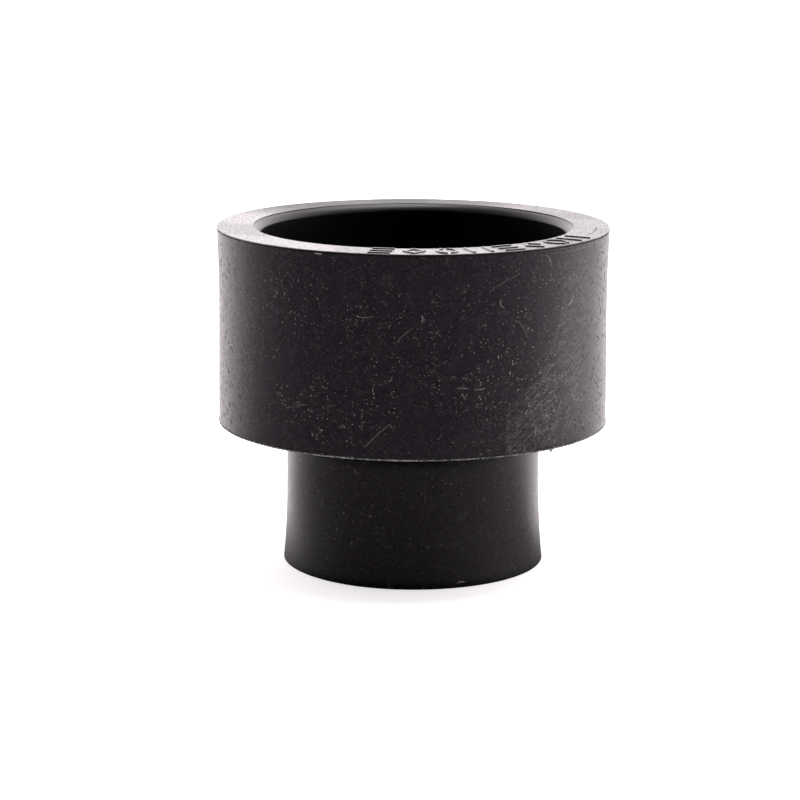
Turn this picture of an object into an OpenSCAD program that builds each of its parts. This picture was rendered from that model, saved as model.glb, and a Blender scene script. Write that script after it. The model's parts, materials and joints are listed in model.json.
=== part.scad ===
// Reducing coupling for hot-melt socket welding, one moulding in black polyethylene.
// It joins a 40 mm pipe, in the large socket, to a 25 mm pipe, in the small socket.
// Each module below is one region of the moulding, and meets its neighbours face to face.
// The origin is the centre of the small end's face, and +Z runs along the pipes' axis
// towards the large socket.

/* [Large socket] */
// Outer diameter of the large barrel, at its rim
large_od = 50.6; // [49:0.1:54]
// Bore of the large socket, which a 40 mm pipe is pushed into when both are hot
large_bore = 39.2; // [38.6:0.1:39.8]
// Depth of the large socket, from the rim to its pipe stop
large_depth = 20.5; // [16:0.5:26]
// How much the barrel's diameter shrinks from the rim to the shoulder
large_taper = 0.2; // [0:0.05:0.6]
// Depth of the shrinkage hollow round the barrel, on the radius
sink_depth = 0.17; // [0:0.01:0.3]
// Where the hollow is deepest, as a fraction of the barrel's height
sink_at = 0.67; // [0.3:0.01:0.8]

/* [Rim] */
// Radial width of the lead-in round the mouth
lead_w = 0.95; // [0.3:0.05:1.4]
// Depth of the lead-in
lead_depth = 1; // [0.3:0.05:1.5]
// Rounding of the barrels' outer edges
edge_r = 0.2; // [0.1:0.05:0.6]

/* [Web and throat] */
// Thickness of the web between the shoulder and the large socket's pipe stop
web_t = 4.9; // [3:0.1:8]
// How far the web is let into the large socket's wall
web_key = 1.2; // [0.6:0.1:2]
// Bore of the throat, the narrowest part of the flow passage
throat_bore = 18; // [14:0.5:21]
// Height of the ring that stops the small pipe
stop_ring_h = 2.5; // [1.5:0.5:5]
// How far the ring is let into the small socket's wall
ring_key = 1; // [0.5:0.1:2]

/* [Small socket] */
// Bore of the small socket, which takes a 25 mm pipe
small_bore = 24.2; // [23.8:0.1:24.6]
// Depth of the small socket, from the small end's face to its pipe stop
small_depth = 16; // [13:0.5:22]
// Outer diameter of the small barrel where it leaves the shoulder
small_od = 33.1; // [31:0.1:36]
// How much the small barrel's diameter grows towards its mouth
small_flare = 1.25; // [0:0.05:2]
// How late the flare sets in, as the power of its curve
flare_power = 3; // [1:0.1:4]
// Width and depth of the lead-in round the small socket's mouth
small_lead = 0.6; // [0.3:0.05:1.2]

/* [Size marks] */
// Number of raised marks on the rim
mark_count = 8; // [1:1:12]
// Angle of the first mark, from -Y towards +X
first_mark = -10; // [-90:1:90]
// Angle between one mark and the next
mark_step = 10; // [9:1:20]
// Width of a mark, along the rim
mark_w = 2.8; // [2:0.1:3]
// Depth of a mark, across the rim
mark_d = 3.6; // [2:0.1:3.8]
// Width of the strokes in a mark
stroke_w = 0.4; // [0.3:0.05:0.7]
// Height of the marks above the rim
mark_h = 0.15; // [0.1:0.05:0.6]

/* [Parting flash] */
// Height of the bead
flash_h = 0.4; // [0.2:0.05:0.8]
// Depth of the bead's seat in the shoulder's outer edge
flash_seat = 0.15; // [0.1:0.01:0.3]
// How far the bead stands out of the barrel
flash_proud = 0.08; // [0.02:0.01:0.1]

/* [Hidden] */
$fn = 120;

shoulder_z = small_depth + stop_ring_h;
stop_z = shoulder_z + web_t;
rim_z = stop_z + large_depth;
barrel_h = rim_z - shoulder_z;

rim_r = large_od / 2;
shoulder_r = rim_r - large_taper / 2;
large_bore_r = large_bore / 2;
mouth_r = large_bore_r + lead_w;
web_r = large_bore_r + web_key;
throat_r = throat_bore / 2;
small_bore_r = small_bore / 2;
ring_r = small_bore_r + ring_key;
neck_r = small_od / 2;
small_end_r = neck_r + small_flare / 2;
flash_root_r = shoulder_r - flash_seat;

barrel_steps = 16;
flare_steps = 10;
corner_steps = 5;
ellipse_steps = 48;
mark_r = (mouth_r + rim_r) / 2;
mark_rx = mark_w / 2;
mark_ry = mark_d / 2;
slant = stroke_w * norm([mark_rx, mark_ry]);
polyethylene = "#1d1b1f";

// Radius of the large barrel at height fraction t, from 0 at the shoulder to 1 at the rim
function barrel_r(t) =
    shoulder_r + (rim_r - shoulder_r) * t
    - sink_depth * sin(180 * pow(t, ln(0.5) / ln(sink_at)));

// Radius of the small barrel at height z
function flare_r(z) = neck_r + small_flare / 2 * pow(1 - z / shoulder_z, flare_power);

// Arc or quarter ellipse about a centre, from one angle to another
function corner(centre, rx, ry, from, to) = [
    for (i = [0 : corner_steps])
        let (a = from + (to - from) * i / corner_steps)
        centre + [rx * cos(a), ry * sin(a)]
];

// Wall of the large socket, with its rim and the rounded lead-in
module large_socket() {
    bead_top = flash_h / barrel_h;
    rim_edge = 1 - edge_r / barrel_h;
    skin = [
        for (i = [0 : barrel_steps])
            let (t = bead_top + (rim_edge - bead_top) * i / barrel_steps)
            [barrel_r(t), shoulder_z + barrel_h * t]
    ];
    edge = corner([rim_r - edge_r, rim_z - edge_r], edge_r, edge_r, 15, 90);
    lead_in = corner([mouth_r, rim_z - lead_depth], lead_w, lead_depth, 90, 180);
    seat = [[flash_root_r, shoulder_z], [flash_root_r, shoulder_z + flash_h]];
    web_seat = [[large_bore_r, stop_z], [web_r, stop_z], [web_r, shoulder_z]];
    color(polyethylene)
        rotate_extrude()
            polygon(concat(seat, skin, edge, lead_in, web_seat));
}

// Web between the barrels: the shoulder below, the large socket's pipe stop above
module stop_web() {
    color(polyethylene)
        translate([0, 0, shoulder_z])
            difference() {
                cylinder(h = web_t, r = web_r);
                translate([0, 0, -1]) cylinder(h = web_t + 2, r = throat_r);
            }
}

// Ring that stops the small pipe, and lines the lower part of the throat
module throat_ring() {
    color(polyethylene)
        translate([0, 0, small_depth])
            difference() {
                cylinder(h = stop_ring_h, r = ring_r);
                translate([0, 0, -1]) cylinder(h = stop_ring_h + 2, r = throat_r);
            }
}

// Wall of the small socket, which flares towards its mouth
module small_socket() {
    skin = [
        for (i = [0 : flare_steps])
            let (z = edge_r + (shoulder_z - edge_r) * i / flare_steps)
            [flare_r(z), z]
    ];
    edge = corner([small_end_r - edge_r, edge_r], edge_r, edge_r, -90, -15);
    ring_seat = [[ring_r, shoulder_z], [ring_r, small_depth], [small_bore_r, small_depth]];
    lead_in = corner([small_bore_r + small_lead, small_lead], small_lead, small_lead, 180, 270);
    color(polyethylene)
        rotate_extrude()
            polygon(concat(edge, skin, ring_seat, lead_in));
}

// Three dashes, one behind another
module dashes() {
    for (row = [-1 : 1])
        translate([0, row * (mark_d - stroke_w) / 2])
            square([mark_w, stroke_w], center = true);
}

// Two bars, side by side
module bars() {
    for (side = [-1, 1])
        translate([side * (mark_w - stroke_w) / 2, 0])
            square([stroke_w, mark_d], center = true);
}

// Corners of an upright diamond
function diamond_points(rx, ry) = [[rx, 0], [0, ry], [-rx, 0], [0, -ry]];

// Points round an ellipse
function ellipse_points(rx, ry) = [
    for (i = [0 : ellipse_steps - 1])
        let (a = 360 * i / ellipse_steps)
        [rx * cos(a), ry * sin(a)]
];

// Oval ring, split in two
module split_ring() {
    difference() {
        polygon(ellipse_points(mark_rx, mark_ry));
        polygon(ellipse_points(mark_rx - stroke_w, mark_ry - stroke_w));
        square([stroke_w, 2 * mark_d], center = true);
    }
}

// Diamond outline
module diamond() {
    difference() {
        polygon(diamond_points(mark_rx, mark_ry));
        polygon(diamond_points(mark_rx - slant / mark_ry, mark_ry - slant / mark_rx));
    }
}

// Raised marks along one side of the rim
module size_marks() {
    color(polyethylene)
        for (i = [0 : mark_count - 1])
            rotate([0, 0, first_mark + mark_step * i])
                translate([0, -mark_r, rim_z])
                    linear_extrude(mark_h) {
                        if (i % 4 == 0) dashes();
                        if (i % 4 == 1) diamond();
                        if (i % 4 == 2) split_ring();
                        if (i % 4 == 3) bars();
                    }
}

// Thin bead of flash where the mould parted, round the shoulder's outer edge
module parting_flash() {
    crest_r = barrel_r(0) + flash_proud;
    color(polyethylene)
        rotate_extrude()
            polygon([
                [flash_root_r, shoulder_z],
                [shoulder_r, shoulder_z],
                [crest_r, shoulder_z + flash_h * 0.25],
                [crest_r, shoulder_z + flash_h * 0.5],
                [flash_root_r, shoulder_z + flash_h]
            ]);
}

large_socket();
stop_web();
throat_ring();
small_socket();
size_marks();
parting_flash();
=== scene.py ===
"""Reducing coupling in black polyethylene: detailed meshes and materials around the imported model."""
import json
import math

import bpy
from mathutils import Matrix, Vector, noise


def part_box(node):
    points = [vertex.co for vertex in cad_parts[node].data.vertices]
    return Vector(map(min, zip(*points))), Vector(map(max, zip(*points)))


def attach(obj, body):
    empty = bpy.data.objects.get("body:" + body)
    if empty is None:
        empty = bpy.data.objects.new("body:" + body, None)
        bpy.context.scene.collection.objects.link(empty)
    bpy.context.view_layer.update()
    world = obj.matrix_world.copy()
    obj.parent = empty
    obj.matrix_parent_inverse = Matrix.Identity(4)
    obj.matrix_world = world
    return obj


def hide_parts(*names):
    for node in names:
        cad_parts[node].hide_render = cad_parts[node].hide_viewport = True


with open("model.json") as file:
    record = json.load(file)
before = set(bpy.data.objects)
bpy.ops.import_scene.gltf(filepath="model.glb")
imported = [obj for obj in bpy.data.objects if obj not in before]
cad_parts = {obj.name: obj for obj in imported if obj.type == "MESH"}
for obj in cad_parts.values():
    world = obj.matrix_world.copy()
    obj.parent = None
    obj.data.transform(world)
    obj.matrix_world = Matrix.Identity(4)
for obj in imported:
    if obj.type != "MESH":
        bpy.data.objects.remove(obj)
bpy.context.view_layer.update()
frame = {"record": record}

# ---------------------------------------------------------------- sizes, from the frame
MM = 0.001
mounts = {mount["name"]: mount["dims"] for mount in frame["record"]["mounts"]}
wall_low, wall_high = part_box("large_socket")
web_low, web_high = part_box("stop_web")
ring_low, ring_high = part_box("throat_ring")
small_low, small_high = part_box("small_socket")
marks_low, marks_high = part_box("size_marks")
flash_low, flash_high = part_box("parting_flash")

RIM_R = min(wall_high.x, -wall_low.x)
RIM_Z = wall_high.z
SHOULDER_Z = wall_low.z
STOP_Z = web_high.z
SMALL_STOP_Z = ring_low.z
WEB_R = min(web_high.x, -web_low.x)
RING_R = min(ring_high.x, -ring_low.x)
FLASH_R = min(flash_high.x, -flash_low.x)
SMALL_END_R = min(small_high.x, -small_low.x)
MARK_H = marks_high.z - marks_low.z
LARGE_BORE_R = mounts["large_socket"]["r_mm"] * MM
SMALL_BORE_R = mounts["small_socket"]["r_mm"] * MM
LEAD_DEPTH = RIM_Z - STOP_Z - mounts["large_socket"]["length_mm"] * MM
SMALL_LEAD = SMALL_STOP_Z - mounts["small_socket"]["length_mm"] * MM

# The CAD design's other dimensions
THROAT_R = 9 * MM
LEAD_W = 0.95 * MM
SHOULDER_TAPER = 0.1 * MM
SINK_DEPTH = 0.17 * MM
SINK_AT = 0.67            # height fraction where the shrinkage hollow is deepest
NECK_R = 16.55 * MM
FLARE_POWER = 3
FIRST_MARK = -10          # degrees
MARK_STEP = 10            # degrees
MARK_COUNT = 8
MARK_KINDS = 4
MARK_W = 2.8 * MM
MARK_D = 3.6 * MM
STROKE_W = 0.4 * MM

# Fine detail that only the visual model has
EDGE_R = 0.15 * MM
LOWER_EDGE_R = 0.15 * MM
SMALL_EDGE_R = 0.10 * MM
STOP_EDGE_R = 0.3 * MM    # rounding of the throat's two edges
RIM_STEP = 0.12 * MM      # height of the small step between the rim and the lead-in
STEP_FADE = 0.06 * MM     # how much lower the step is at the front and back
LEAD_EASE = 1.43          # 1 gives a quarter ellipse, 2 a straight cone
LIP_H = 0.27 * MM         # depth of the first groove below the rim
LIP_GROOVE = 0.05 * MM
BAND_H = 0.75 * MM        # depth of the second groove below the rim
BAND_GROOVE = 0.05 * MM
SKIN_MARGIN = 0.025 * MM  # keeps the waviness inside the CAD's box
NECK_FILLET = 0.3 * MM
MARK_SINK = 0.012 * MM    # how far the rim's waviness lets the marks in
POINT_GAP = 0.1 * MM      # first step of a flat after a rounded edge
SEGMENTS = 640            # faces round the two sockets' walls
PLAIN_ROWS = 60           # rows of the large barrel below its grooves
FINE_ROW = 0.035 * MM     # height of the rows near the grooves
SHARP_ANGLE = math.radians(42)
MOUTH_R = LARGE_BORE_R + LEAD_W
MARK_R = (MOUTH_R + RIM_R) / 2
# A seam would show where an unrolled surface meets itself, at bearings of +-pi
SEAM_FADE = (2.85, 3.05)


# ---------------------------------------------------------------- profiles
def line(start, end, steps):
    """Evenly spaced points from start up to, but not including, end."""
    (r0, z0), (r1, z1) = start, end
    return [
        (r0 + (r1 - r0) * i / steps, z0 + (z1 - z0) * i / steps) for i in range(steps)
    ]


def arc(centre, radii, start, end, steps):
    """Points on an ellipse about centre, from angle start to angle end in degrees."""
    angles = [math.radians(start + (end - start) * i / steps) for i in range(steps + 1)]
    return [
        (centre[0] + radii[0] * math.cos(a), centre[1] + radii[1] * math.sin(a)) for a in angles
    ]


def smooth(value, low, high):
    """0 below low, 1 above high, and a smooth step between."""
    t = min(max((value - low) / (high - low), 0.0), 1.0)
    return t * t * (3 - 2 * t)


def barrel_radius(z):
    """Radius of the large barrel at height z, with its shrinkage hollow."""
    t = (z - SHOULDER_Z) / (RIM_Z - SHOULDER_Z)
    hollow = math.sin(math.pi * t ** (math.log(0.5) / math.log(SINK_AT)))
    return RIM_R - SKIN_MARGIN - SHOULDER_TAPER * (1 - t) - SINK_DEPTH * hollow


def neck_radius(z):
    """Radius of the small barrel at height z, which flares to its mouth."""
    t = max(1 - z / SHOULDER_Z, 0.0)
    flare = SMALL_END_R - NECK_R
    fillet = NECK_FILLET * smooth(z, SHOULDER_Z - NECK_FILLET, SHOULDER_Z) ** 2
    return NECK_R + flare * t**FLARE_POWER - SKIN_MARGIN * 0.4 + fillet


# ---------------------------------------------------------------- mesh building
def from_bearing(bearing, radius, z):
    """A point at a bearing, in radians from -Y towards +X."""
    return Vector((radius * math.sin(bearing), -radius * math.cos(bearing), z))


def make_piece(name, vertices, faces, face_materials, materials, node, slot):
    """Makes a smooth-shaded mesh that replaces a CAD node and rides on the root body."""
    mesh = bpy.data.meshes.new(name)
    mesh.from_pydata([tuple(v) for v in vertices], [], faces)
    for material in materials:
        mesh.materials.append(material)
    mesh.polygons.foreach_set("material_index", face_materials)
    mesh.shade_smooth()
    mesh.set_sharp_from_angle(angle=SHARP_ANGLE)
    mesh.update()
    piece = bpy.data.objects.new(name, mesh)
    bpy.context.scene.collection.objects.link(piece)
    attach(piece, "root")
    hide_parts(node)


def lathe(sections, relief=None, segments=SEGMENTS):
    """Vertices, faces and face materials of a closed profile turned about Z.
    sections is a list of (material index, points), in order round the profile."""
    profile = [point for _, points in sections for point in points]
    owners = [material for material, points in sections for _ in points]
    count = len(profile)
    vertices = []
    for j in range(segments):
        bearing = 2 * math.pi * j / segments
        for r, z in profile:
            point = from_bearing(bearing, r, z)
            if relief:
                out, up = relief(point, bearing, r, z)
                point = from_bearing(bearing, r + out, z + up)
            vertices.append(point)
    faces, face_materials = [], []
    for j in range(segments):
        a, b = j * count, (j + 1) % segments * count
        for i in range(count):
            k = (i + 1) % count
            faces.append((a + i, b + i, b + k, a + k))
            face_materials.append(owners[i])
    return vertices, faces, face_materials


# ---------------------------------------------------------------- node graphs
# Where a soft patch starts and stops fading, as its squared distance in half sizes
PATCH_FADE = (0.55, 1.45)
# Share of a thin line's half width that has its full strength
LINE_CORE = 0.3
# Smallest and largest radius of a speck, as shares of its size
SPECK_RANGE = (0.22, 0.5)
PLASTIC_IOR = 1.5


class Nodes:
    """Adds nodes to a tree, and links them."""

    def __init__(self, tree):
        self.tree = tree

    def node(self, kind, inputs=None, **settings):
        """A new node, with its inputs linked to sockets or set to values."""
        made = self.tree.nodes.new(kind)
        for key, value in settings.items():
            setattr(made, key, value)
        for key, value in (inputs or {}).items():
            if isinstance(value, bpy.types.NodeSocket):
                self.tree.links.new(value, made.inputs[key])
            else:
                made.inputs[key].default_value = value
        return made

    def product(self, a, b):
        """Two vectors multiplied, component by component."""
        inputs = {0: a, 1: b}
        return self.node("ShaderNodeVectorMath", inputs, operation="MULTIPLY").outputs["Vector"]


class Graph(Nodes):
    """A new material's nodes. Points, sizes and distances are in millimetres."""

    def __init__(self, name):
        self.material = bpy.data.materials.new(name)
        self.material.use_nodes = True
        super().__init__(self.material.node_tree)
        self.shader = self.tree.nodes["Principled BSDF"]
        place = self.node("ShaderNodeTexCoord").outputs["Object"]
        inputs = {0: place, "Scale": 1 / MM}
        self.mm = self.node("ShaderNodeVectorMath", inputs, operation="SCALE").outputs["Vector"]
        split = self.node("ShaderNodeSeparateXYZ", {0: self.mm})
        self.x, self.y, self.z = split.outputs
        self.bearing = self.math("ARCTAN2", self.x, self.math("MULTIPLY", self.y, -1.0))

    def math(self, operation, a, b=0.0):
        return self.node("ShaderNodeMath", {0: a, 1: b}, operation=operation).outputs[0]

    def minus(self, a, b):
        return self.math("SUBTRACT", a, b)

    def magnitude(self, a):
        return self.math("ABSOLUTE", a)

    def length(self, a):
        return self.node("ShaderNodeVectorMath", {0: a}, operation="LENGTH").outputs["Value"]

    def step(self, value, low, high, out_low=0.0, out_high=1.0):
        """Smooth step: out_low where value is under low, and out_high where it is over high."""
        inputs = {0: value, 1: low, 2: high, 3: out_low, 4: out_high}
        settings = {"interpolation_type": "SMOOTHSTEP", "clamp": False}
        return self.node("ShaderNodeMapRange", inputs, **settings).outputs[0]

    def off_seam(self, fade=SEAM_FADE):
        """1 at most bearings, fading to 0 at the unrolled surface's seam."""
        return self.step(self.magnitude(self.bearing), *fade, 1.0, 0.0)

    def noise(self, size, detail=2.0, roughness=0.55, at=None, distortion=0.0):
        """Noise of about one bump per size, in millimetres."""
        inputs = {
            "Vector": at or self.mm,
            "Scale": 1.0 / size,
            "Detail": detail,
            "Roughness": roughness,
            "Distortion": distortion,
        }
        return self.node("ShaderNodeTexNoise", inputs).outputs["Fac"]

    def plane(self, u, v):
        """A flat point, for textures drawn on an unrolled surface."""
        return self.node("ShaderNodeCombineXYZ", {0: u, 1: v}).outputs[0]

    def stretched(self, point, angle, ratio):
        """The same point, stretched so that noise becomes streaks at an angle in degrees."""
        inputs = {"Vector": point, "Rotation": (0.0, 0.0, math.radians(-angle))}
        turned = self.node("ShaderNodeMapping", inputs).outputs[0]
        inputs = {"Vector": turned, "Scale": (1.0 / ratio, 1.0, 1.0)}
        return self.node("ShaderNodeMapping", inputs).outputs[0]

    def add(self, *terms):
        total = terms[0]
        for term in terms[1:]:
            total = self.math("ADD", total, term)
        return total

    def times(self, *factors):
        product = factors[0]
        for factor in factors[1:]:
            product = self.math("MULTIPLY", product, factor)
        return product

    def most(self, *values):
        best = values[0]
        for value in values[1:]:
            best = self.math("MAXIMUM", best, value)
        return best

    def patch(self, along, spot, half_size):
        """Soft ellipse on the unrolled surface: 1 inside it, 0 outside."""
        u = self.math("DIVIDE", self.minus(along, spot[0]), half_size[0])
        v = self.math("DIVIDE", self.minus(self.z, spot[1]), half_size[1])
        away = self.add(self.times(u, u), self.times(v, v))
        return self.step(away, *PATCH_FADE, 1.0, 0.0)

    def stroke(self, along, start, end, width, bend):
        """Thin line on the unrolled surface, bowed by bend: 1 on it, 0 off it."""
        du, dv = end[0] - start[0], end[1] - start[1]
        long = math.hypot(du, dv)
        u = self.minus(along, start[0])
        v = self.minus(self.z, start[1])
        on = self.add(self.times(u, du / long**2), self.times(v, dv / long**2))
        off = self.add(self.times(u, -dv / long), self.times(v, du / long))
        arch = self.times(on, self.minus(1.0, on), 4 * bend)
        away = self.magnitude(self.minus(off, arch))
        near = self.step(away, width * LINE_CORE, width, 1.0, 0.0)
        inside = self.times(self.step(on, -0.02, 0.08), self.step(on, 0.92, 1.02, 1.0, 0.0))
        return self.times(near, inside)

    def mix(self, factor, a, b):
        return self.node("ShaderNodeMix", {0: factor, 6: a, 7: b}, data_type="RGBA").outputs[2]

    def specks(self, cell, size, share):
        """Small specks, up to size across, in a share of cells, all in millimetres."""
        inputs = {"Vector": self.mm, "Scale": 1.0 / cell}
        made = self.node("ShaderNodeTexVoronoi", inputs)
        chance = self.node("ShaderNodeSeparateColor", {0: made.outputs["Color"]})
        smallest, largest = (size / cell * share_of for share_of in SPECK_RANGE)
        radius = self.step(chance.outputs[1], 0.0, 1.0, smallest, largest)
        dot = self.step(self.math("DIVIDE", made.outputs["Distance"], radius), 0.6, 1.0, 1.0, 0.0)
        return self.times(dot, self.math("LESS_THAN", chance.outputs[0], share))

    def threads(self, size, width, gate):
        """Short curly threads, where a noise of a given size crosses its mean."""
        ridge = self.magnitude(self.minus(self.noise(size, detail=1.0), 0.5))
        thread = self.step(ridge, width * LINE_CORE, width, 1.0, 0.0)
        return self.times(thread, self.step(self.noise(size * 0.7, detail=1.0), gate, gate + 0.04))

    def bump(self, height, strength, distance):
        inputs = {"Height": height, "Strength": strength, "Distance": distance}
        return self.node("ShaderNodeBump", inputs).outputs[0]

    def shade(self, **inputs):
        """Sets or links the Principled shader's own sockets."""
        for key, value in inputs.items():
            socket = self.shader.inputs[key.replace("_", " ")]
            if isinstance(value, bpy.types.NodeSocket):
                self.tree.links.new(value, socket)
            else:
                socket.default_value = value

    def plastic(self, base, rough, height, strength=0.5, distance=0.02 * MM, **others):
        """Makes the surface polyethylene with a bump map, and gives the finished material."""
        normal = self.bump(height, strength, distance)
        self.shade(Base_Color=base, Roughness=rough, IOR=PLASTIC_IOR, Normal=normal, **others)
        return self.material

    def clear_where(self, share):
        """Makes the surface transparent, by a share from 0 to 1."""
        clear = self.node("ShaderNodeBsdfTransparent").outputs[0]
        inputs = {0: share, 1: self.shader.outputs[0], 2: clear}
        mixed = self.node("ShaderNodeMixShader", inputs).outputs[0]
        self.tree.links.new(mixed, self.tree.nodes["Material Output"].inputs["Surface"])


# ---------------------------------------------------------------- materials
BLACK = (0.0080, 0.0058, 0.0088, 1)
GREY = (0.0165, 0.0125, 0.0178, 1)
NECK_BLACK = (0.0092, 0.0070, 0.0104, 1)
NECK_GREY = (0.0140, 0.0112, 0.0152, 1)
RIM_GREY = (0.05, 0.048, 0.048, 1)
RIM_PIT_SHADE = (0.004, 0.0038, 0.004, 1)
# Inside the sockets: painted shade, far darker than the outside's black, with paler draw lines
BORE_SHADE_BLACK = (0.0012, 0.0010, 0.0013, 1)
BORE_SHADE_GREY = (0.0030, 0.0025, 0.0032, 1)
FLASH_GREY = (0.020, 0.018, 0.020, 1)
WORN = (0.120, 0.108, 0.108, 1)
DUST = (0.33, 0.31, 0.29, 1)
WHITENED = (0.22, 0.208, 0.204, 1)
# Painted shade: a near-black colour that stands in for shade in creases, under the rim, under the
# shoulder and along the foot
PAINTED_SHADE = (0.0025, 0.0020, 0.0026, 1)

# The line of painted shade just under the rim: its distance below the rim and its height, in
# millimetres
LINE_TOP = 0.05
LINE_H = 0.36

# Handling marks on the large barrel. Bearings are in degrees and all else is in millimetres.
# Soft patches: bearing, height, half width, half height, strength
DUSTY = (
    (-39, 37.5, 5.0, 3.4, 1.0), (-39, 25.6, 1.6, 1.8, 1.6), (-22, 24.0, 7.5, 4.0, 1.0),
    (-8, 36.0, 5.0, 3.5, 0.7), (-4, 28.0, 4.5, 3.5, 0.6), (12, 33.0, 6.0, 6.0, 0.45),
    (30, 28.0, 8.0, 8.0, 1.1), (48, 24.0, 7.0, 6.0, 1.1), (44, 39.0, 7.0, 4.0, 0.9),
    (-62, 33.0, 6.0, 8.0, 0.5), (115, 31.0, 11.0, 8.0, 0.8), (-130, 30.0, 12.0, 8.0, 0.8),
    (170, 36.0, 9.0, 6.0, 0.8), (-165, 25.0, 8.0, 5.0, 0.7), (75, 37.0, 8.0, 5.0, 0.7),
)
SCUFFED = (
    (31, 26.0, 6.5, 7.0, 0.45), (45, 27.0, 5.0, 8.0, 0.70), (57, 32.0, 5.0, 11.0, 0.55),
    (29, 21.0, 7.0, 3.0, 0.50), (50, 38.0, 6.0, 5.0, 0.30), (118, 29.0, 7.0, 7.0, 0.6),
    (-128, 31.0, 8.0, 6.0, 0.5), (-172, 26.0, 8.0, 5.0, 0.6),
)
# Pale scratches: start and end as (bearing, height), half width, bend, strength
PALE_LINES = (
    ((-28.4, 43.55), (-26.2, 43.5), 0.11, 0.0, 1.5),
    ((-13.5, 20.0), (-6.0, 23.2), 0.06, 0.15, 0.5), ((-16.0, 36.2), (-11.0, 36.3), 0.06, -0.2, 0.55),
    ((-5.0, 33.0), (0.0, 35.0), 0.05, 0.1, 0.4), ((12.0, 27.4), (15.5, 27.3), 0.07, 0.1, 0.7),
    ((17.0, 27.2), (20.5, 27.3), 0.07, -0.1, 0.6), ((39.3, 43.0), (41.6, 41.6), 0.07, 0.35, 0.9),
    ((24.8, 38.1), (26.0, 37.0), 0.08, -0.3, 0.7), ((49.0, 36.3), (52.0, 37.4), 0.09, -0.3, 0.8),
    ((30.5, 35.2), (33.5, 33.0), 0.06, 0.2, 0.5), ((36.0, 29.5), (47.0, 32.0), 0.05, 0.3, 0.35),
    ((-72.0, 29.0), (-64.0, 30.2), 0.07, 0.1, 0.9), ((-68.0, 34.6), (-64.5, 35.6), 0.07, 0.1, 0.6),
    ((21.0, 39.0), (31.0, 41.0), 0.05, 0.2, 0.35), ((100.0, 34.0), (112.0, 30.0), 0.06, 0.4, 0.6),
    ((-120.0, 26.0), (-112.0, 28.5), 0.06, -0.2, 0.6), ((155.0, 38.0), (166.0, 37.0), 0.06, 0.2, 0.6),
)
# Creases and nicks, painted dark as shade in them, in the same form
SHADED_CREASES = (
    ((49.0, 28.0), (53.0, 29.6), 0.14, 0.1, 0.8), ((54.0, 25.2), (60.0, 27.0), 0.13, 0.2, 0.7),
    ((38.0, 21.2), (44.0, 23.0), 0.12, -0.2, 0.7), ((23.6, 38.2), (24.6, 37.0), 0.12, -0.2, 1.0),
    ((48.4, 36.9), (49.6, 37.3), 0.16, 0.0, 1.0), ((-69.8, 43.1), (-69.2, 43.5), 0.22, 0.0, 1.0),
    ((41.0, 24.5), (44.0, 22.5), 0.10, 0.0, 0.7), ((33.0, 36.0), (38.5, 37.6), 0.10, 0.3, 0.6),
    ((-118.0, 30.0), (-114.0, 31.5), 0.12, 0.1, 0.7), ((131.0, 24.0), (138.0, 25.0), 0.12, 0.2, 0.7),
)

# Sets of fine scratches: angle in degrees, and width in millimetres
STREAKS = ((34, 0.15), (-22, 0.16), (72, 0.14), (50, 0.15))
STREAK_RATIO = 9.0
# A slanting line, right of which the large barrel is more scuffed. Its distance along the
# unrolled barrel is the sum of two steps: between two heights, from one distance to another
FLOW_LINE = ((24.5, 28.5, 11.5, 17.0), (28.0, 36.0, 0.0, 2.6))
# The two ends of the pale flake at the small barrel's foot: bearing and height
FLAKE = ((19.5, 0.62), (23.0, 0.66))
# The rim is dull about this bearing, in radians
DULL_BEARING = math.radians(-165)
# Arc-shaped scratch on the rim: its share of the rim's radius, and the bearings, in radians,
# between which it begins and ends
SCRATCH_AT = 0.93
SCRATCH_START = (1.16, 1.22)
SCRATCH_END = (1.45, 1.55)
RIM_SEAM_FADE = (2.9, 3.08)
BORE_SEAM_FADE = (2.8, 3.05)
# Bump maps: strength and distance
BORE_BUMP = (0.3, 0.015 * MM)
FLASH_BUMP = (0.7, 0.03 * MM)


def on_barrel(bearing, radius):
    """Distance along the unrolled barrel, in millimetres, of a bearing in degrees."""
    return math.radians(bearing) * radius / MM


def strokes(g, along, radius, lines):
    """The strongest of several located scratches."""
    found = None
    for start, end, width, bend, strength in lines:
        ends = [(on_barrel(bearing, radius), z) for bearing, z in (start, end)]
        made = g.times(g.stroke(along, *ends, width, bend), strength)
        found = made if found is None else g.most(found, made)
    return found


def patches(g, along, radius, places):
    """The sum of several located soft patches."""
    found = None
    for bearing, z, half_width, half_height, strength in places:
        spot = (on_barrel(bearing, radius), z)
        made = g.times(g.patch(along, spot, (half_width, half_height)), strength)
        found = made if found is None else g.add(found, made)
    return found


def scuff_streaks(g, point):
    """Fine crossing scratches, everywhere."""
    found = None
    for angle, width in STREAKS:
        drawn = g.noise(width, detail=1.0, at=g.stretched(point, angle, STREAK_RATIO))
        streak = g.step(drawn, 0.60, 0.72)
        found = streak if found is None else g.most(found, streak)
    return found


def rubbed_share(g, along, radius, grain, off_seam):
    """How rubbed the large barrel is: scuffed patches, wiped at a slant and streaked."""
    point = g.plane(along, g.z)
    scuffed = patches(g, along, radius, SCUFFED)
    flow = g.add(*[g.step(g.z, *span) for span in FLOW_LINE])
    past = g.minus(g.add(along, g.times(g.noise(2.5, detail=1.0), -1.6), 0.8), flow)
    right_of_flow = g.step(past, 0.0, 0.6, 0.20, 1.0)
    slanting = g.stretched(point, angle=33, ratio=3.5)
    wiped = g.step(g.noise(0.55, detail=2.0, at=slanting), 0.40, 0.60, 0.20, 1.0)
    scuffed = g.times(scuffed, right_of_flow, g.most(wiped, g.minus(1.0, off_seam)))
    streaks = g.times(scuff_streaks(g, point), off_seam)
    return g.times(scuffed, g.add(g.times(streaks, 0.65), g.step(grain, 0.46, 0.66, 0.0, 0.60)))


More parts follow.
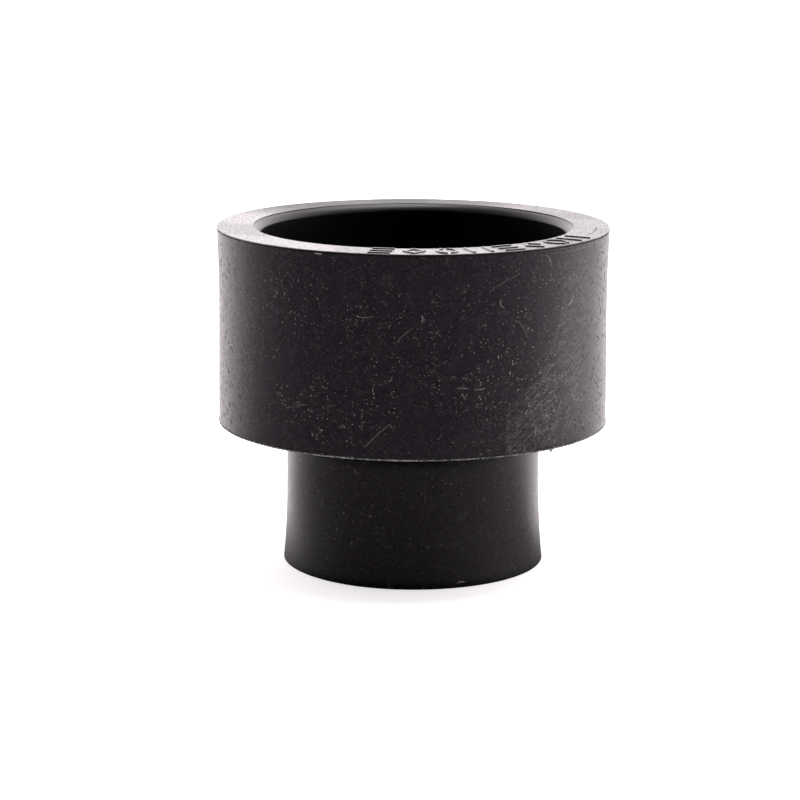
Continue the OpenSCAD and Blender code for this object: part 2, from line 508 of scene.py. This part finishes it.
def barrel_dust(g, along, radius):
    """Specks and threads of dust, gathered in patches and chains, and a few strays."""
    dusty = g.add(0.50, patches(g, along, radius, DUSTY))
    chain = g.magnitude(g.minus(g.noise(4.5, detail=1.0), 0.5))
    gathered = g.step(g.noise(1.8, detail=2.0), 0.36, 0.62, 0.25, 1.0)
    dusty = g.times(dusty, g.add(gathered, g.step(chain, 0.0, 0.035, 0.8, 0.0)))
    fine = g.times(g.specks(cell=0.30, size=0.15, share=0.60), 0.70)
    middling = g.times(g.specks(cell=0.70, size=0.17, share=0.50), 0.90)
    threads = g.times(g.threads(size=1.3, width=0.009, gate=0.61), 0.25)
    dust = g.math("MINIMUM", g.times(g.most(fine, middling, threads), dusty), 1.0)
    stray = g.times(g.specks(cell=1.5, size=0.21, share=0.35), 0.80)
    return g.most(dust, stray)


def painted_rim_shadow(g, mottle):
    """The line of painted shade just under the rim: 1 on it, 0 off it."""
    top = RIM_Z / MM - LINE_TOP
    return g.times(
        g.step(g.z, top - LINE_H, top - LINE_H * 0.6),
        g.step(g.z, top - LINE_H * 0.3, top, 1.0, 0.0),
        g.step(mottle, 0.25, 0.50, 0.5, 1.0),
    )


def slanting_pits(g, along, off_seam):
    """Shallow pits drawn out at a slant, in patches."""
    slanting = g.stretched(g.plane(along, g.z), angle=-36, ratio=2.6)
    pits = g.step(g.noise(0.36, detail=2.0, at=slanting, distortion=0.5), 0.34, 0.46, 1.0, 0.0)
    return g.times(pits, off_seam, g.step(g.noise(1.6, detail=1.0), 0.32, 0.55, 0.25, 1.0))


def large_barrel_material():
    """Moulded and handled outside of the large barrel: grain, scuffs, scratches and dust, with painted
    shade in its creases and nicks and under the rim.
    """
    g = Graph("polyethylene_large_barrel")
    radius = barrel_radius((SHOULDER_Z + RIM_Z) / 2)
    along = g.times(g.bearing, radius / MM)
    off_seam = g.off_seam()
    grain = g.noise(0.17, detail=2.0, roughness=0.7)
    mottle = g.noise(1.2, detail=3.0)
    rubbed = rubbed_share(g, along, radius, grain, off_seam)
    dust = barrel_dust(g, along, radius)
    pale = strokes(g, along, radius, PALE_LINES)
    pale = g.times(pale, g.step(grain, 0.30, 0.55, 0.35, 1.0))
    dark = strokes(g, along, radius, SHADED_CREASES)

    tone = g.add(g.times(mottle, 0.3), g.times(grain, 0.7))
    base = g.mix(g.step(tone, 0.20, 0.80), BLACK, GREY)
    base = g.mix(g.math("MINIMUM", rubbed, 1.0), base, WORN)
    base = g.mix(g.times(pale, 0.6), base, DUST)
    base = g.mix(dust, base, DUST)
    # Painted shade in the creases and nicks
    base = g.mix(dark, base, PAINTED_SHADE)
    # Painted shade in a thin line just under the rim
    under_rim = painted_rim_shadow(g, mottle)
    base = g.mix(under_rim, base, PAINTED_SHADE)

    pits = slanting_pits(g, along, off_seam)
    rough = g.add(
        0.23,
        g.times(g.step(mottle, 0.3, 0.7), 0.06),
        g.times(rubbed, 0.12),
        g.times(dust, 0.6),
        g.times(pits, 0.35),
        g.times(under_rim, 0.40),
    )
    height = g.add(
        g.times(grain, 0.35),
        g.noise(0.8, detail=2.0),
        g.times(pits, -1.1),
        g.times(rubbed, -0.5),
        g.times(dust, 0.8),
        g.times(pale, 0.6),
        g.times(dark, -1.8),
    )
    return g.plastic(base, rough, height, strength=0.6)


def neck_dust(g):
    """Finer and sparser dust, thinning out towards the small barrel's mouth."""
    dusty = g.step(g.noise(3.5, detail=2.0), 0.36, 0.60, 0.15, 1.0)
    dusty = g.times(dusty, g.step(g.z, 2.0, 12.0, 0.45, 1.0))
    fine = g.times(g.specks(cell=0.34, size=0.14, share=0.45), 0.45)
    return g.times(g.most(fine, g.times(g.specks(cell=1.0, size=0.19, share=0.35), 0.85)), dusty)


def small_barrel_material():
    """Outside of the small barrel: finer and cleaner, with faint lines round it, and painted shade
    under the shoulder and along the foot.
    """
    g = Graph("polyethylene_small_barrel")
    along = g.times(g.bearing, NECK_R / MM)
    grain = g.noise(0.15, detail=2.0, roughness=0.7)
    mottle = g.noise(1.0, detail=3.0)
    rings = g.noise(0.22, detail=2.0, at=g.node("ShaderNodeCombineXYZ", {2: g.z}).outputs[0])
    dust = neck_dust(g)
    curls = g.times(g.threads(size=1.1, width=0.010, gate=0.63), 0.25)

    tone = g.add(g.times(mottle, 0.1), g.times(grain, 0.9))
    base = g.mix(g.step(tone, 0.2, 0.8), NECK_BLACK, NECK_GREY)
    # Painted shade under the shoulder. It covers every height above that too, so the shoulder's
    # underside and the marks' walls, which share this material, are painted dark
    shade_under_shoulder = g.step(g.z, SHOULDER_Z / MM - 3.5, SHOULDER_Z / MM - 2.2, 0.0, 0.9)
    # Painted shade along the small barrel's foot
    foot = g.step(g.z, 0.3, 1.3, 1.0, 0.0)
    base = g.mix(g.most(shade_under_shoulder, foot), base, PAINTED_SHADE)
    base = g.mix(dust, base, DUST)
    base = g.mix(curls, base, DUST)
    ends = [(on_barrel(bearing, NECK_R), z) for bearing, z in FLAKE]
    flake = g.stroke(along, *ends, width=0.08, bend=0.12)
    flake = g.times(flake, g.step(grain, 0.30, 0.60, 0.3, 1.0))
    base = g.mix(flake, base, DUST)

    rough = g.add(0.25, g.times(g.step(mottle, 0.3, 0.7), 0.06))
    height = g.add(
        g.times(grain, 0.3),
        g.times(g.noise(0.7, detail=2.0), 0.4),
        g.times(rings, 0.4),
        g.times(dust, 0.7),
    )
    return g.plastic(base, rough, height)


def rim_scratch(g, radius):
    """Arc-shaped scratch on the rim: 1 on it, 0 off it."""
    off_arc = g.magnitude(g.minus(radius, RIM_R / MM * SCRATCH_AT))
    return g.times(
        g.step(off_arc, 0.04, 0.13, 1.0, 0.0),
        g.step(g.bearing, *SCRATCH_START),
        g.step(g.bearing, *SCRATCH_END, 1.0, 0.0),
    )


def rim_material():
    """Trimmed end face: fine grain, turning marks, one scratch, and duller behind and right, with
    painted shade in its pits and scratch.
    """
    g = Graph("polyethylene_rim")
    radius = g.length(g.plane(g.x, g.y))
    grain = g.noise(0.24, detail=3.0, roughness=0.7)
    slow = g.noise(7.0, detail=1.0)
    unrolled = g.plane(g.times(g.bearing, MARK_R / MM), radius)
    off_seam = g.off_seam(RIM_SEAM_FADE)
    mottle = g.noise(0.24, detail=2.0, at=g.stretched(unrolled, angle=0, ratio=3.5))
    mottle = g.add(0.5, g.times(g.minus(mottle, 0.5), off_seam))
    dull = g.step(g.math("COSINE", g.add(g.bearing, -DULL_BEARING)), 0.55, 0.95)
    turned = g.noise(0.16, detail=1.0, at=g.node("ShaderNodeCombineXYZ", {0: radius}).outputs[0])
    pits = g.times(g.specks(cell=0.42, size=0.27, share=0.50), g.step(dull, 0.0, 1.0, 0.9, 0.2))
    scratch = rim_scratch(g, radius)

    base = g.mix(g.step(grain, 0.35, 0.7), BLACK, RIM_GREY)
    base = g.mix(g.times(g.specks(cell=0.7, size=0.2, share=0.3), 0.6), base, DUST)
    # Painted shade: the pits and the scratch are coloured near-black
    base = g.mix(g.most(g.times(pits, 0.7), scratch), base, RIM_PIT_SHADE)
    rough = g.add(
        0.27,
        g.times(g.step(mottle, 0.42, 0.62), 0.12),
        g.times(g.step(slow, 0.42, 0.60), 0.06),
        g.times(g.step(grain, 0.5, 0.7), 0.14),
        g.times(dull, 0.30),
        g.step(g.x, 0.0, 20.0, 0.0, 0.06),
        g.times(pits, 0.40),
        g.times(scratch, 0.3),
    )
    height = g.add(
        g.times(grain, 0.5),
        g.times(mottle, 0.35),
        g.times(turned, 0.3),
        g.times(pits, -0.9),
        g.times(scratch, -1.2),
    )
    return g.plastic(base, rough, height)


def bore_material(name, radius, shine):
    """Clean core-side surface inside a socket, with faint draw lines along it, coloured far darker
    than the outside as painted shade.
    """
    g = Graph(name)
    along = g.times(g.bearing, radius / MM)
    grain = g.noise(0.3, detail=2.0)
    drawn = g.noise(0.45, detail=2.0, at=g.stretched(g.plane(along, g.z), angle=90, ratio=14.0))
    drawn = g.times(drawn, g.off_seam(BORE_SEAM_FADE))
    base = g.mix(drawn, BORE_SHADE_BLACK, BORE_SHADE_GREY)
    base = g.mix(g.times(g.specks(cell=1.3, size=0.18, share=0.10), 0.3), base, DUST)
    rough = g.add(0.32, g.times(drawn, 0.14))
    height = g.add(g.times(grain, 0.4), g.times(drawn, 0.6))
    return g.plastic(base, rough, height, *BORE_BUMP, Specular_IOR_Level=shine)


def flash_material():
    """Flash bead: rubbed pale in places along its crest."""
    g = Graph("polyethylene_flash")
    broken = g.noise(0.28, detail=3.0, roughness=0.7)
    slow = g.noise(4.0, detail=1.0)
    pale = g.step(g.add(g.times(broken, 0.75), g.times(slow, 0.35)), 0.47, 0.66)
    base = g.mix(pale, FLASH_GREY, WHITENED)
    rough = g.add(0.55, g.times(broken, 0.25))
    return g.plastic(base, rough, g.noise(0.12, detail=3.0), *FLASH_BUMP)


# ---------------------------------------------------------------- pieces
def lead_in_points(steps):
    """Lead-in round the mouth, from top to bottom: nearly a cone, eased at both ends."""
    points = []
    for i in range(steps + 1):
        angle = math.radians(90 * i / steps)
        inwards = LEAD_W * math.sin(angle) ** LEAD_EASE
        height = (LEAD_DEPTH - RIM_STEP) * max(math.cos(angle), 0.0) ** LEAD_EASE
        points.append((MOUTH_R - inwards, RIM_Z - LEAD_DEPTH + height))
    return points


def wave(point, size):
    """Smooth noise from -1 to 1, of about one bump per size, in metres."""
    return noise.noise(point / size)


def gauss(distance, width):
    """1 at no distance, falling smoothly to 0 within about two widths."""
    return math.exp(-((distance / width) ** 2))


def grooves(bearing, z):
    """Depth of the two faint grooves that run round just below the rim."""
    turn = math.remainder(bearing, 2 * math.pi)
    near_right = gauss(turn - math.radians(58), math.radians(22))
    near_left = gauss(turn + math.radians(42), math.radians(26))
    at_sides = smooth(abs(math.sin(bearing)), 0.25, 0.7)
    below_rim = RIM_Z - z
    band = gauss(below_rim - BAND_H, 0.10 * MM) * (0.15 + 0.85 * near_right + 0.5 * near_left)
    lip = gauss(below_rim - LIP_H, 0.07 * MM) * at_sides
    return BAND_GROOVE * band + LIP_GROOVE * lip


def wall_relief(point, bearing, r, z):
    """How far the real large socket strays from its profile: out and up."""
    outer = smooth(r, MOUTH_R + 1.5 * MM, RIM_R - 0.6 * MM)
    oval = math.cos(2 * (bearing - 0.7))
    out = outer * MM * (
        0.008 * oval + 0.008 * wave(point, 9 * MM) + 0.003 * wave(point, 2.2 * MM)
    )
    out -= outer * grooves(bearing, z)
    top = smooth(z, RIM_Z - 0.5 * MM, RIM_Z)
    up = top * MM * (0.010 * wave(point, 6 * MM) - 0.012 + 0.004 * wave(point, 1.5 * MM))
    if r <= MOUTH_R and z < RIM_Z - 0.8 * RIM_STEP:
        step_shown = smooth(abs(math.sin(bearing)), 0.4, 0.75)
        up += STEP_FADE * (1 - step_shown) * smooth(z, RIM_Z - LEAD_DEPTH, RIM_Z - RIM_STEP)
    return out, up


def skin_heights(low, high):
    """Heights of the large barrel's rows, which are closer together near the grooves."""
    fine_low = RIM_Z - BAND_H - 0.35 * MM
    fine_rows = int((high - fine_low) / FINE_ROW)
    plain = [low + (fine_low - low) * i / PLAIN_ROWS for i in range(1, PLAIN_ROWS)]
    return plain + [fine_low + FINE_ROW * i for i in range(fine_rows)]


def large_socket(barrel, rim, mouth, bore):
    """Wall of the large socket."""
    low_r, low_z = barrel_radius(SHOULDER_Z) - LOWER_EDGE_R, SHOULDER_Z + LOWER_EDGE_R
    high_r, high_z = RIM_R - SKIN_MARGIN - EDGE_R, RIM_Z - EDGE_R
    step_r = 0.05 * MM
    underside = line((WEB_R, SHOULDER_Z), (low_r, SHOULDER_Z), 8)
    lower_edge = arc((low_r, low_z), (LOWER_EDGE_R, LOWER_EDGE_R), -90, 0, 5)
    skin = [(barrel_radius(z), z) for z in skin_heights(low_z, high_z)]
    edge = arc((high_r, high_z), (EDGE_R, EDGE_R), 0, 90, 7)
    face = line((high_r - 0.06 * MM, RIM_Z), (MOUTH_R + step_r, RIM_Z), 16)
    riser = arc((MOUTH_R + step_r, RIM_Z - step_r), (step_r, step_r), 90, 180, 4)
    below_lead_in = RIM_Z - LEAD_DEPTH - POINT_GAP
    inside = line((LARGE_BORE_R, below_lead_in), (LARGE_BORE_R, STOP_Z), 8)
    sections = [
        (0, underside + lower_edge + skin + edge[:-2]),
        (1, edge[-2:] + face + riser),
        (2, lead_in_points(14)),
        (3, inside + [(LARGE_BORE_R, STOP_Z), (WEB_R, STOP_Z)]),
    ]
    shape = lathe(sections, wall_relief)
    materials = [barrel, rim, mouth, bore]
    make_piece("large_socket_wall", *shape, materials, "large_socket", "polyethylene")


def inner_piece(name, sections, materials, node):
    """A turned piece without relief, and with half as many segments."""
    shape = lathe(sections, segments=SEGMENTS // 2)
    make_piece(name, *shape, materials, node, "polyethylene")


def stop_web(barrel, bore):
    """Web between the barrels, with the upper part of the throat."""
    edge = STOP_EDGE_R
    sections = [
        (0, line((THROAT_R, SHOULDER_Z), (WEB_R, SHOULDER_Z), 10)),
        (1, [(WEB_R, SHOULDER_Z)]),
        (1, line((WEB_R, STOP_Z), (THROAT_R + edge, STOP_Z), 20)),
        (1, arc((THROAT_R + edge, STOP_Z - edge), (edge, edge), 90, 180, 6)),
        (1, line((THROAT_R, STOP_Z - edge - POINT_GAP), (THROAT_R, SHOULDER_Z), 6)),
    ]
    inner_piece("stop_web_disc", sections, [barrel, bore], "stop_web")


def throat_ring(bore):
    """Pipe stop of the small socket, with the lower part of the throat."""
    edge = STOP_EDGE_R
    low = (THROAT_R + edge, SMALL_STOP_Z + edge)
    sections = [
        (0, arc(low, (edge, edge), 180, 270, 6)),
        (0, line((low[0] + POINT_GAP, SMALL_STOP_Z), (RING_R, SMALL_STOP_Z), 8)),
        (0, line((RING_R, SMALL_STOP_Z), (RING_R, SHOULDER_Z), 2)),
        (0, line((RING_R, SHOULDER_Z), (THROAT_R, SHOULDER_Z), 4)),
        (0, line((THROAT_R, SHOULDER_Z), (THROAT_R, low[1] + POINT_GAP), 3)),
    ]
    inner_piece("throat_stop_ring", sections, [bore], "throat_ring")


def neck_relief(point, bearing, r, z):
    """How far the small barrel's skin strays from its profile: out and up."""
    outer = smooth(r, SMALL_BORE_R + 2 * MM, NECK_R - 0.3 * MM)
    flattened = (0.17 + 0.14 * smooth(z, 13 * MM, 1 * MM)) * smooth(-math.sin(bearing), 0.3, 1.0)
    out = outer * MM * (
        0.012 * math.cos(2 * bearing + 1)
        + 0.010 * wave(point, 7 * MM)
        + 0.003 * wave(point, 2 * MM)
        - 0.02
        - flattened
    )
    return out, 0.0


def small_socket(barrel, bore):
    """Wall of the small socket."""
    edge_r = neck_radius(0) - SMALL_EDGE_R
    mouth_r = SMALL_BORE_R + SMALL_LEAD
    fillet_z = SHOULDER_Z - NECK_FILLET
    heights = [SMALL_EDGE_R + (fillet_z - SMALL_EDGE_R) * i / 48 for i in range(1, 49)]
    heights += [SHOULDER_Z - NECK_FILLET * (1 - i / 5) for i in range(1, 6)]
    sections = [
        (1, [(mouth_r, 0.0)]),
        (0, line((mouth_r + POINT_GAP, 0.0), (edge_r, 0.0), 8)),
        (0, arc((edge_r, SMALL_EDGE_R), (SMALL_EDGE_R, SMALL_EDGE_R), -90, 0, 6)),
        (0, [(neck_radius(z), z) for z in heights]),
        (1, [(RING_R, SHOULDER_Z), (RING_R, SMALL_STOP_Z)]),
        (1, line((SMALL_BORE_R, SMALL_STOP_Z), (SMALL_BORE_R, SMALL_LEAD), 10)),
        (1, arc((mouth_r, SMALL_LEAD), (SMALL_LEAD, SMALL_LEAD), 180, 262, 7)),
    ]
    shape = lathe(sections, neck_relief)
    make_piece("small_socket_wall", *shape, [barrel, bore], "small_socket", "polyethylene")


# ---------------------------------------------------------------- raised marks
def straight(start, end, steps=8):
    """Points from start to end, both included."""
    return [
        tuple(a + (b - a) * i / steps for a, b in zip(start, end)) for i in range(steps + 1)
    ]


def mark_strokes(kind):
    """The strokes of one generic mark, as (path, is closed), about its own centre."""
    half_w = (MARK_W - STROKE_W) / 2
    half_d = (MARK_D - STROKE_W) / 2
    if kind == 0:
        return [(straight((-half_w, y), (half_w, y)), False) for y in (-half_d, 0, half_d)]
    if kind == 1:
        corners = [(half_w, 0), (0, half_d), (-half_w, 0), (0, -half_d)]
        ring = [
            point
            for a, b in zip(corners, corners[1:] + corners[:1])
            for point in straight(a, b, 6)[:-1]
        ]
        return [(ring, True)]
    if kind == 2:
        right = arc((0, 0), (half_w, half_d), -72, 72, 16)
        left = arc((0, 0), (half_w, half_d), 108, 252, 16)
        return [(right, False), (left, False)]
    return [(straight((x, -half_d), (x, half_d)), False) for x in (-half_w, half_w)]


# Left half of a ridge's cross section, from its foot to its crest, as shares of its width
# and height
RIDGE = ((-0.5, 0.0), (-0.475, 0.8), (-0.42, 0.98), (0.0, 1.0))
ROOT_WIDTH = 1.08
ROOT_DEPTH = 0.04 * MM
# Where the round ends' cross sections lie, as angles in radians round the end
CAP_ANGLES = (0.5, 0.95, 1.3, 1.5)


def ridge_profile():
    """Cross section of a ridge, from its left root over its crest to its right root."""
    half = [(-ROOT_WIDTH / 2, -ROOT_DEPTH)] + [(u, v * MARK_H) for u, v in RIDGE]
    whole = half + [(-u, v) for u, v in reversed(half[:-1])]
    return [(u * STROKE_W, v) for u, v in whole]


def stroke_rings(path, closed):
    """Centre, direction and scale of each cross section along a flat path."""
    rings = []
    count = len(path)
    for i, centre in enumerate(path):
        before = path[(i - 1) % count] if closed or i else centre
        after = path[(i + 1) % count] if closed or i < count - 1 else centre
        along = Vector((after[0] - before[0], after[1] - before[1])).normalized()
        rings.append((Vector(centre), along, 1.0))
    if closed:
        return rings
    caps = [(math.sin(a) * STROKE_W / 2, math.cos(a)) for a in CAP_ANGLES]
    (first, ahead, _), (last, onward, _) = rings[0], rings[-1]
    start = [(first - ahead * reach, ahead, scale) for reach, scale in caps]
    end = [(last + onward * reach, onward, scale) for reach, scale in caps]
    return start[::-1] + rings + end


def sweep_stroke(path, closed):
    """A low ridge with round ends along a flat path: vertices in the mark's plane, faces,
    and each face's material: 0 on top, 1 on the walls."""
    across = ridge_profile()
    rings = stroke_rings(path, closed)
    vertices, faces, sides = [], [], []
    for centre, along, scale in rings:
        side = Vector((-along.y, along.x))
        for u, v in across:
            spot = centre + side * u * scale
            vertices.append((spot.x, spot.y, v * min(1.0, scale * 1.6) if v > 0 else v))
    width, total = len(across), len(rings)
    crest = (width // 2 - 1, width // 2)
    for i in range(total if closed else total - 1):
        a, b = i * width, (i + 1) % total * width
        for k in range(width):
            n = (k + 1) % width
            faces.append((a + k, a + n, b + n, b + k))
            sides.append(0 if k in crest else 1)
    if not closed:
        faces.append(tuple(range(width - 1, -1, -1)))
        faces.append(tuple((total - 1) * width + k for k in range(width)))
        sides += [1, 1]
    return vertices, faces, sides


def size_marks(rim, wall):
    """Generic raised marks along the near right of the rim."""
    vertices, faces, face_materials = [], [], []
    for i in range(MARK_COUNT):
        bearing = math.radians(FIRST_MARK + MARK_STEP * i)
        tangent = Vector((math.cos(bearing), math.sin(bearing), 0))
        for path, closed in mark_strokes(i % MARK_KINDS):
            flat, stroke_faces, sides = sweep_stroke(path, closed)
            base = len(vertices)
            for x, y, up in flat:
                centre = from_bearing(bearing, MARK_R - y, RIM_Z - MARK_SINK + up)
                vertices.append(centre + tangent * x)
            faces += [tuple(base + k for k in face) for face in stroke_faces]
            face_materials += sides
    shape = (vertices, faces, face_materials)
    make_piece("rim_size_marks", *shape, [rim, wall], "size_marks", "polyethylene")


# ---------------------------------------------------------------- flash bead
NIB_BEARING = math.radians(43)
NIB_LENGTH = 0.38 * MM
NIB_WIDTH = 0.16 * MM
FLASH_STEPS = 1800
FLASH_SIDES = 10


def parting_flash(flash):
    """Ragged bead of flash round the shoulder's outer edge, with one hanging nib."""
    steps, across = FLASH_STEPS, FLASH_SIDES
    centre_r = barrel_radius(SHOULDER_Z) - 0.05 * MM
    centre_z = SHOULDER_Z + 0.08 * MM
    reach = FLASH_R - SKIN_MARGIN * 0.4 - centre_r
    vertices, faces = [], []
    for j in range(steps):
        bearing = 2 * math.pi * j / steps
        spot = from_bearing(bearing, centre_r, centre_z)
        ragged = 0.5 + 0.5 * wave(spot, 0.28 * MM)
        slow = 0.5 + 0.5 * wave(spot, 4.0 * MM)
        out = reach * (0.62 + 0.22 * ragged + 0.16 * slow)
        tall = MM * (0.07 + 0.035 * ragged + 0.03 * slow)
        turn = math.remainder(bearing - NIB_BEARING, 2 * math.pi) * centre_r
        nib = NIB_LENGTH * gauss(turn, NIB_WIDTH)
        for k in range(across):
            angle = 2 * math.pi * k / across
            r = centre_r + out * math.cos(angle)
            z = centre_z + tall * math.sin(angle)
            if math.sin(angle) < -0.5:
                z -= nib
            vertices.append(from_bearing(bearing, r, z))
    for j in range(steps):
        a, b = j * across, (j + 1) % steps * across
        for k in range(across):
            n = (k + 1) % across
            faces.append((a + k, b + k, b + n, a + n))
    shape = (vertices, faces, [0] * len(faces))
    make_piece("parting_flash_bead", *shape, [flash], "parting_flash", "scuffed_flash")


# ---------------------------------------------------------------- studio
FLOOR_R = 4.0
FLOOR_GLOW = 0.62
FLOOR_COLOR = (0.90, 0.895, 0.89, 1)
FLOOR_GLOW_COLOR = (1.0, 0.985, 0.975, 1)
CARD_COLOR = (0.02, 0.02, 0.02, 1)
DISC_SIDES = 96
# Cards: name, centre, radius of the dark middle, outer radius, opacity
SHADES = (
    ("shade_foot", (0.0005, 0.0, -0.0004), 0.014, 0.044, 0.92),
    ("shade_near", (0.036, -0.004, -0.0008), 0.008, 0.022, 0.60),
    ("shade_right", (0.062, -0.018, -0.0012), 0.026, 0.056, 0.78),
    ("shade_left", (-0.072, 0.010, -0.0016), 0.018, 0.052, 0.45),
)
SOFTBOX_SIZE = 0.55
SOFTBOX_PLACE = (0.12, 0.12, 0.75)
SOFTBOX_TILT = math.radians(-9)
SOFTBOX_POWER = 7.0
WALL_TINT = (1.0, 0.935, 0.97)
WALL_RADIANCE = 3.4125
BACK_BEARING = math.radians(163)
# Brightness of the walls, from straight in front (0) to straight behind (1)
WALL_LEVELS = (
    (0.0, 0.0), (0.12, 0.006), (0.305, 0.085), (0.475, 0.26), (0.60, 0.60), (0.77, 1.0), (1.0, 1.0)
)
# Brightness of the walls by height, from straight below (0) to straight above (1)
HEIGHT_LEVELS = (
    (0.0, 0.30), (0.40, 0.50), (0.45, 0.52), (0.50, 0.62), (0.58, 1.0), (0.70, 1.0), (1.0, 0.55)
)
# Brightness of the walls from side to side, from -X (0) to +X (1)
SIDE_LEVELS = ((0.0, 1.0), (0.81, 1.0), (0.90, 0.78), (1.0, 0.78))


def disc(name, radius, material, centre=(0.0, 0.0, 0.0)):
    """Flat round piece of studio equipment."""
    turn = 2 * math.pi / DISC_SIDES
    rim = [from_bearing(turn * i, radius, 0) for i in range(DISC_SIDES)]
    mesh = bpy.data.meshes.new(name)
    mesh.from_pydata([tuple(v) for v in rim], [], [tuple(range(DISC_SIDES))])
    mesh.materials.append(material)
    made = bpy.data.objects.new(name, mesh)
    made.location = centre
    bpy.context.scene.collection.objects.link(made)
    return made


def floor():
    """Plain pale floor that glows a little, and is clear when seen from beneath."""
    g = Graph("pale_floor")
    g.shade(
        Base_Color=FLOOR_COLOR,
        Roughness=0.9,
        Emission_Color=FLOOR_GLOW_COLOR,
        Emission_Strength=FLOOR_GLOW,
    )
    g.clear_where(g.node("ShaderNodeNewGeometry").outputs["Backfacing"])
    disc("floor", FLOOR_R, g.material).visible_glossy = False


def shade_card(name, centre, inner, outer, opacity):
    """Dark card under the floor, seen only in reflections: the floor is in shade there."""
    g = Graph(name)
    g.shade(Base_Color=CARD_COLOR, Roughness=1.0)
    away = g.length(g.plane(g.x, g.y))
    g.clear_where(g.step(away, inner / MM, outer / MM, 1 - opacity, 1.0))
    made = disc(name, outer, g.material, centre)
    made.visible_camera = False
    made.visible_diffuse = False
    made.visible_shadow = False


def softbox():
    """Round soft light above the object and a little behind it."""
    lamp = bpy.data.lights.new("softbox", "AREA")
    lamp.shape = "DISK"
    lamp.size = SOFTBOX_SIZE
    lamp.energy = SOFTBOX_POWER
    holder = bpy.data.objects.new("softbox", lamp)
    holder.location = SOFTBOX_PLACE
    holder.rotation_euler = (SOFTBOX_TILT, 0, 0)
    bpy.context.scene.collection.objects.link(holder)


def levels(nodes, value, stops):
    """Brightness for a value from -1 to 1, by a list of stops."""
    spread = nodes.node("ShaderNodeMapRange", {"From Min": -1.0, "Value": value})
    ramp = nodes.node("ShaderNodeValToRGB", {"Fac": spread.outputs["Result"]})
    elements = ramp.color_ramp.elements
    elements.remove(elements[-1])
    for i, (at, level) in enumerate(stops):
        stop = elements[0] if i == 0 else elements.new(at)
        stop.position = at
        stop.color = (level, level, level, 1)
    return ramp.outputs["Color"]


def wall_color(nodes):
    """Light from the studio's walls, which depends on their direction."""
    direction = nodes.node("ShaderNodeTexCoord").outputs["Generated"]
    back = from_bearing(BACK_BEARING, 1.0, 0.0)
    towards = nodes.node(
        "ShaderNodeVectorMath", {0: direction, 1: back}, operation="DOT_PRODUCT"
    ).outputs["Value"]
    place = nodes.node("ShaderNodeSeparateXYZ", {0: direction}).outputs
    color = nodes.product(
        levels(nodes, towards, WALL_LEVELS), levels(nodes, place["Z"], HEIGHT_LEVELS)
    )
    color = nodes.product(color, levels(nodes, place["X"], SIDE_LEVELS))
    return nodes.product(color, WALL_TINT)


def studio_light():
    """White walls behind and beside the object, fading to a dark camera side. The camera
    sees plain white."""
    world = bpy.data.worlds.new("studio")
    bpy.context.scene.world = world
    world.use_nodes = True
    world.node_tree.nodes.clear()
    nodes = Nodes(world.node_tree)
    light = {"Color": wall_color(nodes), "Strength": WALL_RADIANCE}
    walls = nodes.node("ShaderNodeBackground", light).outputs[0]
    plain = nodes.node("ShaderNodeBackground", {"Color": (1, 1, 1, 1)}).outputs[0]
    seen = nodes.node("ShaderNodeLightPath").outputs["Is Camera Ray"]
    mixed = nodes.node("ShaderNodeMixShader", {0: seen, 1: walls, 2: plain}).outputs[0]
    nodes.node("ShaderNodeOutputWorld", {"Surface": mixed})


# ---------------------------------------------------------------- camera
# The camera's place, in design rim radii from the centre of the rim
CAMERA_BACK = 13.571
CAMERA_UP = 1.939
CAMERA_SIDE = -0.064
CAMERA_UNIT = 25.3 * MM
CAMERA_PITCH = 11.866     # degrees below the horizon
CAMERA_ROLL = 0.25        # degrees
CAMERA_LENS = 121.05      # millimetres


def camera():
    """Long lens in front of the object and a little above it."""
    data = bpy.data.cameras.new("camera")
    data.lens = CAMERA_LENS
    holder = bpy.data.objects.new("camera", data)
    holder.location = (
        CAMERA_SIDE * CAMERA_UNIT, -CAMERA_BACK * CAMERA_UNIT, RIM_Z + CAMERA_UP * CAMERA_UNIT
    )
    holder.rotation_euler = (math.radians(90 - CAMERA_PITCH), 0, 0)
    holder.rotation_euler.rotate_axis("Z", math.radians(CAMERA_ROLL))
    bpy.context.scene.collection.objects.link(holder)
    bpy.context.scene.camera = holder


def build():
    """The studio, the materials and the six pieces."""
    camera()
    floor()
    for shade in SHADES:
        shade_card(*shade)
    softbox()
    studio_light()
    bpy.context.scene.view_settings.view_transform = "Standard"
    barrel = large_barrel_material()
    neck = small_barrel_material()
    rim = rim_material()
    lead_in = bore_material("polyethylene_lead_in", MOUTH_R, 0.22)
    large_bore = bore_material("polyethylene_large_bore", LARGE_BORE_R, 0.10)
    small_bore = bore_material("polyethylene_small_bore", SMALL_BORE_R, 0.10)
    large_socket(barrel, rim, lead_in, large_bore)
    # The web's underside takes the small barrel's material, and with it that material's painted shade
    stop_web(neck, large_bore)
    throat_ring(small_bore)
    small_socket(neck, small_bore)
    # The marks' walls take the small barrel's material, so they are painted dark with its shade under
    # the shoulder
    size_marks(rim, neck)
    parting_flash(flash_material())


build()
